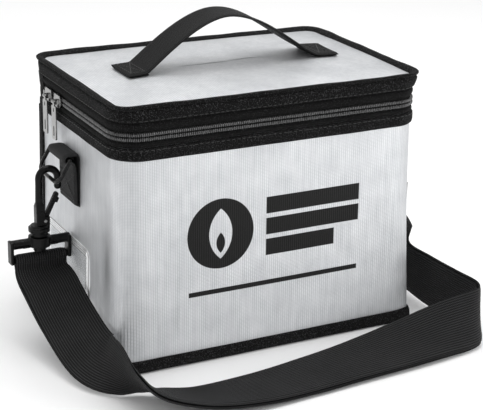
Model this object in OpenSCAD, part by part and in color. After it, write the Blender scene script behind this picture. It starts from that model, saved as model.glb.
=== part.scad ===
// Zip-lid storage bag for model-aircraft batteries, empty and closed, with a
// carrying handle and a shoulder strap that lies on the floor in front of it.
// Millimetres, +Z up. The origin is the middle of the underside. The front faces -Y.

/* [Bag] */
// Width over the bindings, along X
bag_w = 215; // [205:1:225]
// Depth over the bindings, along Y
bag_d = 145; // [138:1:152]
// Height of the lid's edge above the floor
bag_h = 170; // [164:1:178]
// Radius of the vertical corners over the bindings
corner_r = 18.5; // [15:0.5:22]
// How far the middle of the lid stands above its edge
crown_rise = 4; // [3:0.5:6]

/* [Fabric layers] */
// Thickness of the silver outer fabric
skin_t = 1.2; // [0.8:0.1:1.5]
// Thickness of the heat-resistant felt between the fabrics
foam_t = 3; // [2:0.5:3.5]
// Thickness of the inner lining
lining_t = 0.8; // [0.5:0.1:1.2]
// Thickness of the stiff board in the base
board_t = 2.5; // [1.5:0.5:3]

/* [Zip band] */
// Height from the lid's edge down to the line where the lid parts from the body
split_drop = 17; // [15:0.5:19]
// Height of each webbing band: lid binding, body band and base binding
band_h = 8; // [6:0.5:9]
// Width of one row of zip coil
coil_h = 2.65; // [2:0.05:3]
// How far in front of the back of the bag the zip ends
zip_end = 21; // [19.5:0.5:24]

/* [Handle] */
// Width of the handle webbing
handle_w = 30; // [25:1:34]
// Thickness of the handle webbing, folded double
handle_t = 2.4; // [1.6:0.2:3]
// Height of the handle's arch above the lid's edge
handle_rise = 38; // [30:1:44]

/* [Snap hooks and strap] */
// Width of the shoulder strap webbing
strap_w = 36; // [34:1:38]
// Thickness of the shoulder strap, two layers of webbing
strap_t = 3.6; // [3:0.2:4]
// Width of the webbing tab that holds each ring
tab_w = 30; // [24:1:30]
// Radius of the ring's wire
wire_r = 1.3; // [1.1:0.1:1.7]
// Thickness of the snap hook, along Y
hook_t = 6; // [5:0.5:6.5]

/* [Hidden] */
$fn = 64;

// Insets of the fabric layers from the outside of the bindings
skin_in = 1.5;
tape_in = 1;
tape_out = 2.6;
foam_in = skin_in + skin_t;
lining_in = foam_in + foam_t;
cavity_in = lining_in + lining_t;
lid_foam_t = foam_t - 0.6;

// Levels
z_split = bag_h - split_drop;
z_lid = z_split + 0.15;
z_body = z_split - 0.15;
z_band_top = z_split - 7;
z_bind = bag_h - band_h;
z_crown = bag_h + crown_rise;
z_board = skin_t + board_t;
z_wall_top = z_split - 4;
zip_end_y = bag_d / 2 - zip_end;

// Side hardware. Its own X is measured outward from the middle of the bag.
wall_x = bag_w / 2 - skin_in;
tab_y = 5;
tab_z0 = 91;
tab_t = 3.2;
bar_x = wall_x + 8.2;
bar_z = 123.2;
ring_half = 17.4;
ring_depth = 16.2;
ring_bend = 6;
ring_tilt = 31;
shank_x = wall_x + 23.5;
loop_x = -6.8;
loop_z = 108.1;
loop_r = 9.2;
mouth_r = 3.4;
neck_z = 77.6;
pivot_x = -3.6;
pivot_z = 80.2;
pin_r = 1;
gate_l = 18.6;
gate_lean = 26.4;
post_r = 3;
base_half = strap_w / 2 + 2.4;
base_bar_z = 55.3;
base_bar_r = 2.2;
base_top_z = 63.5;

// Sliders and pulls, on the left wall
slider_x = bag_w / 2 + 0.3;
slider_t = 1.6;
pull_x = bag_w / 2 + 3.8;
pull_z = z_split - 0.5;
pull_l = 25.2;
pull_w = 7.2;
slider_rear_y = 38;
slider_front_y = 22;

// Route of the strap: the middle of the webbing, and the way its width points there
strap_route = [[-shank_x, 3.2, 49], [-129.4, -1, 45], [-128, -9.5, 40.2], [-126.6, -34, 28.5],
    [-124, -68, 17.2], [-119.7, -96, 19.2], [-111, -112.7, 15.3], [-100, -123, 9.8], [-76, -131.5, 6],
    [-42, -132.5, 4.4], [-8, -130.5, 4.8], [26, -128, 6.5], [61, -126.5, 9.8],
    [94, -125.5, 14], [121, -126, 18.6], [130.5, -114, 19.8], [129.5, -90, 20],
    [128, -62, 20.2], [126.5, -36, 22.5], [127.5, -17, 30], [129, -4, 41], [shank_x, 3.2, 49]];
strap_width_way = [[1, 0, 0], [0.99, -0.08, 0.06], [0.94, -0.2, 0.2], [0.9, -0.14, 0.41],
    [0.82, -0.2, 0.57], [0.12, -0.03, 0.99], [-0.4, -0.54, 0.74], [-0.4, -0.85, 0.33],
    [-0.15, -0.98, 0.12],
    [-0.2, -0.97, -0.03], [-0.1, -0.96, -0.12], [0.06, -0.98, -0.2], [0.06, -0.92, -0.38],
    [0.06, -0.77, -0.63], [0.03, -0.32, -0.95], [0, 0, -1], [0, 0, -1], [0, 0, -1],
    [0.06, 0, -1], [-0.45, 0, -0.89], [-0.91, 0, -0.41], [-1, 0, 0]];
strap_steps = 3;

// ---- Shared shapes ----

// Plan of the bag, this far inside the outside of the bindings
module plan(inset) {
    w = bag_w - 2 * inset;
    d = bag_d - 2 * inset;
    r = corner_r - inset;
    square([w - 2 * r, d], center = true);
    square([w, d - 2 * r], center = true);
    for (x = [-1, 1], y = [-1, 1])
        translate([x * (w / 2 - r), y * (d / 2 - r)]) circle(r);
}

module layer(inset, z0, z1) {
    translate([0, 0, z0]) linear_extrude(z1 - z0) plan(inset);
}

module wall(outer, inner, z0, z1) {
    translate([0, 0, z0]) linear_extrude(z1 - z0) difference() {
        plan(outer);
        plan(inner);
    }
}

// Everything below a roof that falls by crown_rise to each side of the bag
module under_crown(top) {
    side_r = (pow(bag_w / 2, 2) + pow(crown_rise, 2)) / (2 * crown_rise);
    end_r = (pow(bag_d / 2, 2) + pow(crown_rise, 2)) / (2 * crown_rise);
    intersection() {
        translate([0, 0, top - side_r]) rotate([90, 0, 0])
            cylinder(r = side_r, h = 2 * bag_d, center = true, $fn = 200);
        translate([0, 0, top - end_r]) rotate([0, 90, 0])
            cylinder(r = end_r, h = 2 * bag_w, center = true, $fn = 200);
    }
}

// One closed cap: the room under the roof inside this inset
module cap(inset, top) {
    intersection() {
        layer(inset, z_lid, z_crown + 5);
        under_crown(top);
    }
}

// Keeps the part in front of a line across the bag, or the part behind it
module in_front_of(y) {
    intersection() {
        children();
        translate([-bag_w, y - 3 * bag_d, 0]) cube([2 * bag_w, 3 * bag_d, 2 * bag_h]);
    }
}

module behind(y) {
    intersection() {
        children();
        translate([-bag_w, y, 0]) cube([2 * bag_w, bag_d, 2 * bag_h]);
    }
}

// Side hardware is drawn on the right and mirrored to the left
module on_side(side) {
    mirror([side < 0 ? 1 : 0, 0, 0]) children();
}

module rounded_box(w, h, r) {
    square([w - 2 * r, h], center = true);
    square([w, h - 2 * r], center = true);
    for (x = [-1, 1], y = [-1, 1])
        translate([x * (w / 2 - r), y * (h / 2 - r)]) circle(r);
}

// Stands a flat outline up in the XZ plane and gives it a thickness along Y
module upright(t) {
    rotate([90, 0, 0]) linear_extrude(t, center = true) children();
}

// ---- Body ----

module base_panel() {
    color("silver") layer(skin_in, 0, skin_t);
}

module base_board() {
    color("dimgray") layer(foam_in, skin_t, z_board);
}

module body_shell() {
    color("silver") wall(skin_in, foam_in, skin_t, z_band_top);
}

module body_foam() {
    color("whitesmoke") {
        layer(foam_in, z_board, z_board + foam_t);
        wall(foam_in, lining_in, z_board + foam_t, z_wall_top);
    }
}

module body_lining() {
    color("lightgray") {
        layer(lining_in, z_board + foam_t, z_board + foam_t + lining_t);
        wall(lining_in, cavity_in, z_board + foam_t + lining_t, z_wall_top);
    }
}

module bottom_binding() {
    color("black") wall(0, skin_in, 0, band_h);
}

module body_band() {
    color("black") wall(0, skin_in, z_band_top - band_h, z_band_top);
}

// Narrow tape over the two seams at the back corners
module corner_bindings() {
    reach = 2 * corner_r;
    color("black") for (side = [-1, 1]) on_side(side) intersection() {
        wall(0.3, skin_in, band_h, z_band_top - band_h);
        translate([bag_w / 2 - corner_r, bag_d / 2 - corner_r, 0]) linear_extrude(bag_h)
            polygon([[0, 0], [reach * cos(8), reach * sin(8)], [reach, reach],
                [reach * sin(8), reach * cos(8)]]);
    }
}

module lower_zip_tape() {
    color("black") wall(tape_in, tape_out, z_band_top, z_body);
}

module lower_zip_coil() {
    color("dimgray") in_front_of(zip_end_y - 2)
        wall(0.1, tape_in, z_body - coil_h, z_body);
}

module zip_stops() {
    color("silver") for (side = [-1, 1]) on_side(side)
        translate([bag_w / 2 - tape_in, zip_end_y - 1.9, z_body - coil_h - 0.4])
            cube([1.1, 1.8, coil_h + 0.4]);
}

module hinge_tape_lower() {
    color("black") behind(zip_end_y) wall(0, tape_in, z_band_top, z_body);
}

module hinge_tape_upper() {
    color("black") behind(zip_end_y) wall(0, tape_in, z_lid, z_bind);
}

// Clear label pocket on the left wall
pocket_w = 75;
pocket_h = 55;
pocket_y = 10.5;
pocket_z = 39.5;
pocket_edge = 6;
module pocket_sheet(t, outer, inner) {
    on_side(-1) translate([wall_x, pocket_y, pocket_z]) rotate([90, 0, 90])
        linear_extrude(t) difference() {
            rounded_box(pocket_w - 2 * outer, pocket_h - 2 * outer, 4);
            if (inner > 0) rounded_box(pocket_w - 2 * inner, pocket_h - 2 * inner, 2);
        }
}

module pocket_border() {
    color("gainsboro") pocket_sheet(1, 0, pocket_edge);
}

module pocket_window() {
    color([0.9, 0.95, 1, 0.4]) on_side(-1)
        translate([wall_x, pocket_y, pocket_z]) rotate([90, 0, 90]) linear_extrude(0.5)
            rounded_box(pocket_w - 2 * pocket_edge, pocket_h - 2 * pocket_edge, 2);
}

// Webbing tab: a patch sewn to the wall, folded outward round the ring's bar
module ring_tab(side) {
    color("black") on_side(side) translate([0, tab_y, 0]) difference() {
        union() {
            translate([wall_x, -tab_w / 2, tab_z0])
                cube([tab_t, tab_w, bar_z + tab_t / 2 - tab_z0]);
            translate([wall_x + 1, -tab_w / 2, bar_z - tab_t / 2])
                cube([bar_x - wall_x - 1, tab_w, tab_t]);
            translate([bar_x, 0, bar_z]) rotate([90, 0, 0])
                cylinder(r = wire_r + 2, h = tab_w, center = true);
        }
        translate([bar_x, 0, bar_z]) rotate([90, 0, 0])
            cylinder(r = wire_r + 0.08, h = tab_w + 2, center = true);
    }
}

// ---- Lid ----

module lid_panel() {
    color("silver") difference() {
        intersection() {
            layer(tape_out, z_bind, z_crown + 5);
            under_crown(z_crown);
        }
        under_crown(z_crown - skin_t);
    }
}

module lid_foam() {
    color("whitesmoke") difference() {
        cap(tape_out, z_crown - skin_t);
        translate([0, 0, -1]) cap(tape_out + lid_foam_t, z_crown - skin_t - foam_t + 1);
    }
}

module lid_lining() {
    inner = tape_out + lid_foam_t;
    top = z_crown - skin_t - foam_t;
    color("lightgray") difference() {
        cap(inner, top);
        translate([0, 0, -1]) cap(inner + lining_t, top - lining_t + 1);
    }
}

module lid_binding() {
    color("black") wall(0, tape_out, z_bind, bag_h + 0.2);
}

module upper_zip_tape() {
    color("black") wall(tape_in, tape_out, z_lid, z_bind);
}

module upper_zip_coil() {
    color("dimgray") in_front_of(zip_end_y - 2) wall(0.1, tape_in, z_lid, z_lid + coil_h);
}

// Handle: one band of webbing, flat at both ends and arched between them
function bezier(p, t) = pow(1 - t, 3) * p[0] + 3 * t * pow(1 - t, 2) * p[1]
    + 3 * t * t * (1 - t) * p[2] + pow(t, 3) * p[3];
handle_left = -75;
handle_right = 77;
handle_flat = z_crown + 0.9;
handle_top = bag_h + handle_rise - handle_t / 2;
handle_curve = concat(
    [for (i = [0:9]) bezier([[-62, handle_flat], [-54, z_crown + 6], [-26, handle_top],
        [-4, handle_top]], i / 10)],
    [for (i = [0:10]) bezier([[-4, handle_top], [20, handle_top], [45, z_crown + 6],
        [61, handle_flat]], i / 10)]);
function handle_side(i, way) = let (
    last = len(handle_curve) - 1,
    run = handle_curve[min(i + 1, last)] - handle_curve[max(i - 1, 0)],
    n = [-run[1], run[0]] / norm(run))
    handle_curve[i] + way * handle_t / 2 * n;

module handle() {
    last = len(handle_curve) - 1;
    upper = [for (i = [0:last]) handle_side(i, 1)];
    lower = [for (i = [last:-1:0]) handle_side(i, -1)];
    color("black") upright(handle_w) polygon(concat(
        [[handle_left, handle_flat - handle_t / 2], [handle_left, handle_flat + handle_t / 2]],
        upper,
        [[handle_right, handle_flat + handle_t / 2], [handle_right, handle_flat - handle_t / 2]],
        lower));
}

// Short under-layers that the handle's ends are sewn to, cut to the slope of the roof
function roof(x) = z_crown + 0.05 - crown_rise * pow(2 * x / bag_w, 2);
module handle_patches() {
    top = handle_flat - handle_t / 2;
    color("black") upright(handle_w) for (x = [[handle_left + 2, -61], [60, handle_right - 2]])
        polygon([[x[0], roof(x[0])], [x[1], roof(x[1])], [x[1], top], [x[0], top]]);
}

// ---- Zip sliders and pulls ----

// Plate that runs over both rows of coil, with two ears that hold the pull's pin
module slider(y) {
    color("gainsboro") on_side(-1) translate([0, y, z_split]) {
        translate([slider_x, 0, 0]) rotate([90, 0, 90]) linear_extrude(slider_t)
            rounded_box(11, 8.4, 2.5);
        for (ear = [-1, 1]) translate([0, ear * 2.2, 0]) {
            translate([slider_x + slider_t / 2, -0.4, pull_z - z_split - 1.2])
                cube([pull_x - slider_x - slider_t / 2, 0.8, 2.4]);
            translate([pull_x, 0, pull_z - z_split]) rotate([90, 0, 0])
                cylinder(r = 1.2, h = 0.8, center = true);
        }
        translate([pull_x, 0, pull_z - z_split]) rotate([90, 0, 0])
            cylinder(r = 0.6, h = 4, center = true);
    }
}

// Pull tab: a knuckle on the pin and a flat tongue with a slot near each end
module pull(y) {
    color("gainsboro") on_side(-1) translate([pull_x, y, pull_z]) difference() {
        union() {
            rotate([90, 0, 0]) cylinder(r = 1.2, h = 3.2, center = true);
            translate([-0.55, 0, -pull_l / 2 - 1]) rotate([90, 0, 90]) linear_extrude(1.1)
                rounded_box(pull_w, pull_l - 2.6, 1.2);
            translate([-0.55, -1.2, -2.6]) cube([1.1, 2.4, 2.4]);
        }
        rotate([90, 0, 0]) cylinder(r = 0.66, h = 6, center = true);
        translate([-1, 0, -19.2]) rotate([90, 0, 90]) linear_extrude(2)
            rounded_box(1.8, 6.5, 0.85);
        translate([-1, 0, -5.2]) rotate([90, 0, 90]) linear_extrude(2)
            rounded_box(1.6, 2.6, 0.75);
    }
}

// ---- Rings, snap hooks and strap ----

// D-shaped ring: a straight bar in the tab and a bow that hangs outward from it
module ring(side) {
    color("black") on_side(side) translate([bar_x, tab_y, bar_z]) rotate([0, -ring_tilt, 0]) {
        rotate([90, 0, 0]) cylinder(r = wire_r, h = 2 * ring_half, center = true);
        for (end = [0, 1]) mirror([0, end, 0]) {
            translate([0, ring_half, 0]) sphere(wire_r);
            translate([0, ring_half, ring_bend - ring_depth])
                cylinder(r = wire_r, h = ring_depth - ring_bend);
            translate([0, ring_half - ring_bend, ring_bend - ring_depth]) rotate([90, 0, 90])
                rotate([0, 0, -90]) rotate_extrude(angle = 90)
                    translate([ring_bend, 0]) circle(wire_r, $fn = 32);
        }
        translate([0, 0, -ring_depth]) rotate([90, 0, 0])
            cylinder(r = wire_r, h = 2 * (ring_half - ring_bend) + 0.02, center = true);
    }
}

module at_shank(side) {
    on_side(side) translate([shank_x, tab_y, 0]) children();
}

// Frame that the strap folds round, with the boss that the hook's post turns in
module strap_base(side) {
    color("black") at_shank(side) difference() {
        union() {
            for (end = [-1, 1]) translate([end * (base_half - 1.05), 0, 61])
                cube([2.1, 7, 15], center = true);
            translate([0, 0, base_top_z + 2.6]) rotate([0, 90, 0])
                cylinder(r = 3.1, h = 2 * base_half, center = true);
            translate([0, 0, base_bar_z]) rotate([0, 90, 0])
                cylinder(r = base_bar_r, h = 2 * base_half - 1, center = true);
            translate([0, 0, base_top_z]) cylinder(r = 7.2, h = 6.6);
            translate([0, 0, 66]) cube([24, 5.4, 5], center = true);
        }
        translate([0, 0, 50]) cylinder(r = post_r + 0.06, h = 30);
        translate([0, 0, 59]) cylinder(r = 4.3, h = base_top_z - 59);
    }
}

// Snap hook: post, barrel, spine and round loop, with a slot for the gate
module hook(side) {
    color("black") at_shank(side) difference() {
        union() {
            translate([0, 0, 61]) cylinder(r = post_r, h = 12);
            translate([0, 0, 60]) cylinder(r = 4, h = base_top_z - 60.2);
            translate([0, 0, base_top_z + 6.8]) cylinder(r = 5.6, h = neck_z - base_top_z - 6.8);
            translate([0, 0, neck_z - 4.2]) cylinder(r = 7, h = 2.8);
            upright(hook_t) translate([-6.6, neck_z - 1]) square([loop_x + loop_r + 6.6, 6.6]);
            upright(hook_t) translate([loop_x + mouth_r, neck_z - 1])
                square([loop_r - mouth_r, loop_z - neck_z + 1]);
            upright(hook_t) translate([loop_x, loop_z]) intersection() {
                difference() {
                    circle(loop_r);
                    circle(mouth_r);
                }
                translate([-loop_r, 0]) square([2 * loop_r, loop_r]);
            }
            upright(hook_t) translate([loop_x - loop_r, 99.9])
                square([loop_r - mouth_r, loop_z - 99.9]);
        }
        translate([pivot_x - 6, -1.7, pivot_z - 3.2]) cube([8.8, 3.4, 12.4]);
        translate([pivot_x, 0, pivot_z]) rotate([90, 0, 0])
            cylinder(r = pin_r + 0.02, h = hook_t + 2, center = true);
    }
}

module gate_pin(side) {
    color("dimgray") at_shank(side) translate([pivot_x, 0, pivot_z]) rotate([90, 0, 0])
        cylinder(r = pin_r, h = hook_t, center = true);
}

// Sprung gate: a lever from the pin to the nose of the hook, with a thumb nub
module gate(side) {
    color("black") at_shank(side) translate([pivot_x, 0, pivot_z]) difference() {
        union() {
            rotate([90, 0, 0]) cylinder(r = 2.4, h = 3, center = true);
            rotate([0, -gate_lean, 0]) {
                translate([-1.4, -1.5, 0]) cube([2.8, 3, gate_l]);
                translate([0, 0, gate_l]) rotate([90, 0, 0])
                    cylinder(r = 1.4, h = 3, center = true);
                translate([-2.8, -1.5, gate_l - 5]) cube([1.6, 3, 3.4]);
            }
        }
        rotate([90, 0, 0]) cylinder(r = pin_r + 0.06, h = 6, center = true);
    }
}

// The strap's end, folded round the frame's lower bar
module strap_end(side) {
    color("black") at_shank(side) translate([0, 0, base_bar_z]) rotate([0, 90, 0])
        difference() {
            cylinder(r = base_bar_r + 0.06 + strap_t / 2, h = strap_w, center = true);
            cylinder(r = base_bar_r + 0.06, h = strap_w + 2, center = true);
        }
}

// Point on a smooth curve through the listed points, at station i + t
function along(p, i, t) = let (
    last = len(p) - 1,
    a = i > 0 ? p[i - 1] : 2 * p[0] - p[1],
    b = p[i],
    c = p[min(i + 1, last)],
    d = i + 2 <= last ? p[i + 2] : 2 * p[last] - p[last - 1])
    0.5 * (2 * b + (c - a) * t + (2 * a - 5 * b + 4 * c - d) * t * t
        + (3 * b - a - 3 * c + d) * pow(t, 3));
function unit(v) = v / norm(v);

strap_mid = concat([for (i = [0:len(strap_route) - 2], k = [0:strap_steps - 1])
    along(strap_route, i, k / strap_steps)], [strap_route[len(strap_route) - 1]]);
strap_way = concat([for (i = [0:len(strap_route) - 2], k = [0:strap_steps - 1])
    along(strap_width_way, i, k / strap_steps)], [strap_width_way[len(strap_route) - 1]]);

// Four corners of the webbing's section at one place on its route
function strap_section(i) = let (
    last = len(strap_mid) - 1,
    run = unit(strap_mid[min(i + 1, last)] - strap_mid[max(i - 1, 0)]),
    w = unit(strap_way[i] - (strap_way[i] * run) * run),
    n = cross(run, w))
    [for (c = [[-1, -1], [1, -1], [1, 1], [-1, 1]])
        let (p = strap_mid[i] + c[0] * strap_w / 2 * w + c[1] * strap_t / 2 * n)
        [p[0], p[1], max(p[2], 0)]];

module shoulder_strap() {
    count = len(strap_mid);
    color("black") polyhedron(
        points = [for (i = [0:count - 1]) each strap_section(i)],
        faces = concat(
            [[0, 1, 2, 3]],
            [for (i = [0:count - 2], k = [0:3])
                each [[4 * i + k, 4 * i + 4 + k, 4 * i + 4 + (k + 1) % 4],
                    [4 * i + k, 4 * i + 4 + (k + 1) % 4, 4 * i + (k + 1) % 4]]],
            [[4 * count - 1, 4 * count - 2, 4 * count - 3, 4 * count - 4]]));
}

base_panel();
base_board();
body_shell();
body_foam();
body_lining();
bottom_binding();
body_band();
corner_bindings();
lower_zip_tape();
lower_zip_coil();
zip_stops();
hinge_tape_lower();
pocket_border();
pocket_window();
ring_tab(-1);  // ring_tab_left
ring_tab(1);  // ring_tab_right
shoulder_strap();
lid_panel();
lid_foam();
lid_lining();
lid_binding();
upper_zip_tape();
upper_zip_coil();
hinge_tape_upper();
handle();
handle_patches();
slider(slider_front_y);  // slider_front
slider(slider_rear_y);  // slider_rear
pull(slider_front_y);  // pull_front
pull(slider_rear_y);  // pull_rear
ring(-1);  // ring_left
ring(1);  // ring_right
strap_base(-1);  // strap_base_left
strap_base(1);  // strap_base_right
strap_end(-1);  // strap_end_left
strap_end(1);  // strap_end_right
hook(-1);  // hook_left
hook(1);  // hook_right
gate_pin(-1);  // gate_pin_left
gate_pin(1);  // gate_pin_right
gate(-1);  // gate_left
gate(1);  // gate_right
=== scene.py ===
"""A zip-lid storage bag in silver fire-resistant cloth, with its handle and shoulder strap.

Everything is in metres in the row frame: the origin is the middle of the underside, the front
faces -Y and +Z is up. Lengths are written in millimetres and multiplied by MM.
"""
import math

import bmesh
import bpy
from mathutils import Matrix, Vector, noise


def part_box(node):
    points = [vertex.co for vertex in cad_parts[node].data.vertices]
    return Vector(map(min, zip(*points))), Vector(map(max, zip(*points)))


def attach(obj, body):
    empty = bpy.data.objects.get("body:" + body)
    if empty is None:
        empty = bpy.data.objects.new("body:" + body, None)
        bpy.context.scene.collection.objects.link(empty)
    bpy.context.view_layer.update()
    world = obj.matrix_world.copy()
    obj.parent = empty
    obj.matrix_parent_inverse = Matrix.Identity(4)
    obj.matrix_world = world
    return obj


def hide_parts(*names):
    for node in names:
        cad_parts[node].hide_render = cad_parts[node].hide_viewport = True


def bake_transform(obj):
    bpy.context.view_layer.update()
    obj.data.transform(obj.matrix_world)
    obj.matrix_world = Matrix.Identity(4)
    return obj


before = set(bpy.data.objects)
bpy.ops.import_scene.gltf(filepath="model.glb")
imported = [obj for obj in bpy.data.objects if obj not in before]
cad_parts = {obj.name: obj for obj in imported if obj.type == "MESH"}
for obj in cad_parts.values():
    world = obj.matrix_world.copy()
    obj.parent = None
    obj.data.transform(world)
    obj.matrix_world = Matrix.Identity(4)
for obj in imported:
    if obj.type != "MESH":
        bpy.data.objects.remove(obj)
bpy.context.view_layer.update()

MM = 0.001

# Driving sizes of the bag and its soft parts
CORNER_R = 18.5 * MM
SKIN_IN = 1.5 * MM
TAPE_IN = 1.0 * MM
LID_IN = 2.6 * MM
CROWN_RISE = 4.0 * MM
STRAP_LAYER_W = 34.6 * MM
STRAP_LAYER = 1.6 * MM
WIRE_R = 1.3 * MM
HANDLE_W = 30.0 * MM
WEB_T = 1.7 * MM

# Places, read from the frame
bag_lo, bag_hi = (Vector(corner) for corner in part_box("lid_binding"))
HALF_W = bag_hi.x
HALF_D = bag_hi.y
LID_EDGE_Z = bag_hi.z
BIND_Z = bag_lo.z
body_lo, body_hi = (Vector(corner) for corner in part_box("body_shell"))
band_lo, band_hi = (Vector(corner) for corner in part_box("body_band"))
BAND_TOP_Z = band_hi.z
SPLIT_Z = 0.5 * (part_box("lower_zip_tape")[1][2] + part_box("upper_zip_tape")[0][2])
ZIP_END_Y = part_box("lower_zip_coil")[1][1]
TAB_Y = 5.0 * MM
SHANK_X = 129.5 * MM


# ---------------------------------------------------------------- mesh helpers

def add_object(name, verts, faces, uvs=None, materials=(), smooth_angle=40.0):
    """A mesh object. uvs holds one (u, v) in metres for each corner of each face."""
    mesh = bpy.data.meshes.new(name)
    mesh.from_pydata([tuple(v) for v in verts], [], faces)
    if uvs is not None:
        layer = mesh.uv_layers.new(name="cloth")
        flat = [c for face in uvs for corner in face for c in corner]
        layer.data.foreach_set("uv", flat)
    mesh.polygons.foreach_set("use_smooth", [True] * len(mesh.polygons))
    mesh.set_sharp_from_angle(angle=math.radians(smooth_angle))
    mesh.update()
    for material in materials:
        mesh.materials.append(material)
    obj = bpy.data.objects.new(name, mesh)
    bpy.context.scene.collection.objects.link(obj)
    return obj


def fix_normals(obj):
    """Turns every face outward and marks the sharp edges again."""
    bm = bmesh.new()
    bm.from_mesh(obj.data)
    bmesh.ops.recalc_face_normals(bm, faces=bm.faces)
    bm.to_mesh(obj.data)
    bm.free()
    obj.data.set_sharp_from_angle(angle=math.radians(40.0))
    return obj


def apply_modifiers(obj):
    bpy.context.view_layer.update()
    depsgraph = bpy.context.evaluated_depsgraph_get()
    mesh = bpy.data.meshes.new_from_object(obj.evaluated_get(depsgraph))
    obj.modifiers.clear()
    obj.data = mesh
    return obj


def sweep(name, frames, profile, material, closed=False, lengths=None):
    """Carries a closed outline along frames. A frame is (origin, side, up); an outline point is
    (side, up). UV: u runs along the sweep and v round the outline, both in metres."""
    outlines = [profile(i) if callable(profile) else profile for i in range(len(frames))]
    profile = outlines[0]
    count, ring = len(frames), len(profile)
    verts = []
    for (origin, side, up), outline in zip(frames, outlines):
        verts += [origin + side * a + up * b for a, b in outline]
    if lengths is None:
        lengths = [0.0]
        for i in range(1, count + 1):
            lengths.append(lengths[-1] + (frames[i % count][0] - frames[i - 1][0]).length)
    around = [0.0]
    for k in range(ring):
        a, b = Vector(profile[k]), Vector(profile[(k + 1) % ring])
        around.append(around[-1] + (b - a).length)
    faces, uvs = [], []
    for i in range(count if closed else count - 1):
        j = (i + 1) % count
        for k in range(ring):
            n = (k + 1) % ring
            faces.append((i * ring + k, j * ring + k, j * ring + n, i * ring + n))
            uvs.append(((lengths[i], around[k]), (lengths[i + 1], around[k]),
                        (lengths[i + 1], around[k + 1]), (lengths[i], around[k + 1])))
    if not closed:
        faces.append(tuple(range(ring)))
        uvs.append(tuple((p[0], p[1]) for p in profile))
        last = (count - 1) * ring
        faces.append(tuple(last + k for k in reversed(range(ring))))
        uvs.append(tuple((profile[k][0], profile[k][1]) for k in reversed(range(ring))))
    return fix_normals(add_object(name, verts, faces, uvs, [material]))


def join(name, objects):
    """One object from several, with the first one's materials."""
    merged = bmesh.new()
    for obj in objects:
        obj.data.transform(obj.matrix_world)
        merged.from_mesh(obj.data)
    mesh = bpy.data.meshes.new(name)
    merged.to_mesh(mesh)
    merged.free()
    for material in objects[0].data.materials:
        mesh.materials.append(material)
    for obj in objects:
        bpy.data.objects.remove(obj)
    mesh.set_sharp_from_angle(angle=math.radians(40.0))
    joined = bpy.data.objects.new(name, mesh)
    bpy.context.scene.collection.objects.link(joined)
    return joined


def put(obj, body, material_slot, *nodes):
    """Rides on a body and hides the CAD nodes that it stands for. Its material slot is not used.
    """
    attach(obj, body)
    if nodes:
        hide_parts(*nodes)
    return obj


# ---------------------------------------------------------------- paths

def plan_path(inset=0.0, step=3.0 * MM, y_max=None, radius=CORNER_R):
    """Points round the bag's plan, from the middle of the back round the left side, the front
    and the right side: (point, outward). With y_max, only the open stretch in front of it."""
    w, d, r = HALF_W - inset, HALF_D - inset, radius - inset
    corners = [(-w + r, d - r, 90), (-w + r, -d + r, 180), (w - r, -d + r, 270), (w - r, d - r, 0)]
    points = [(Vector((0, d, 0)), Vector((0, 1, 0)))]
    arc_n = max(4, round(r * math.pi / 2 / (step * 0.6)))
    for cx, cy, start in corners:
        first = None
        for k in range(arc_n + 1):
            a = math.radians(start + 90 * k / arc_n)
            out = Vector((math.cos(a), math.sin(a), 0))
            p = Vector((cx, cy, 0)) + out * r
            if first is None:
                first = p
                points += straight(points[-1][0], p, out, step)
            points.append((p, out))
    points += straight(points[-1][0], points[0][0], Vector((0, 1, 0)), step)
    if y_max is None:
        return points
    kept = [(p, out) for p, out in points if p.y <= y_max]
    left, right = Vector((-w, y_max, 0)), Vector((w, y_max, 0))
    return [(left, Vector((-1, 0, 0)))] + kept + [(right, Vector((1, 0, 0)))]


def straight(a, b, out, step):
    """Points strictly between a and b, evenly spaced."""
    n = max(1, round((b - a).length / step))
    return [(a.lerp(b, k / n), out) for k in range(1, n)]


UP = Vector((0, 0, 1))
FLARE, FLARE_CORNER, FLARE_TOP_Z = 3.0 * MM, 3.9 * MM, 138.0 * MM
TOP_CORNER_PUSH = 2.7 * MM


def corner_share(out):
    """0 on the straight walls and 1 in the middle of a corner."""
    return (1 - max(abs(out.x), abs(out.y))) / (1 - math.sqrt(0.5))


def flare(out, z):
    """How far the soft walls spread outward towards the floor, most of all at the corners."""
    t = max(0.0, 1 - z / FLARE_TOP_Z)
    return (FLARE + FLARE_CORNER * corner_share(out)) * t * t


def length_of(points):
    """Length of the line through the points."""
    return sum((points[i] - points[i - 1]).length for i in range(1, len(points)))


def cut_width(outline):
    """Width of the flat strip that folds into this outline: half the way round it."""
    points = [Vector(p) for p in outline]
    return max(10 * MM, length_of(points + points[:1]) / 2)


def band_frames(path, z):
    return [(p + UP * z, out, UP) for p, out in path]


def soft_noise(x, y, z, scale):
    """Smooth noise from -1 to 1 that is the same on every run."""
    return noise.noise(Vector((x, y, z)) / scale)


# ---------------------------------------------------------------- node helpers

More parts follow.
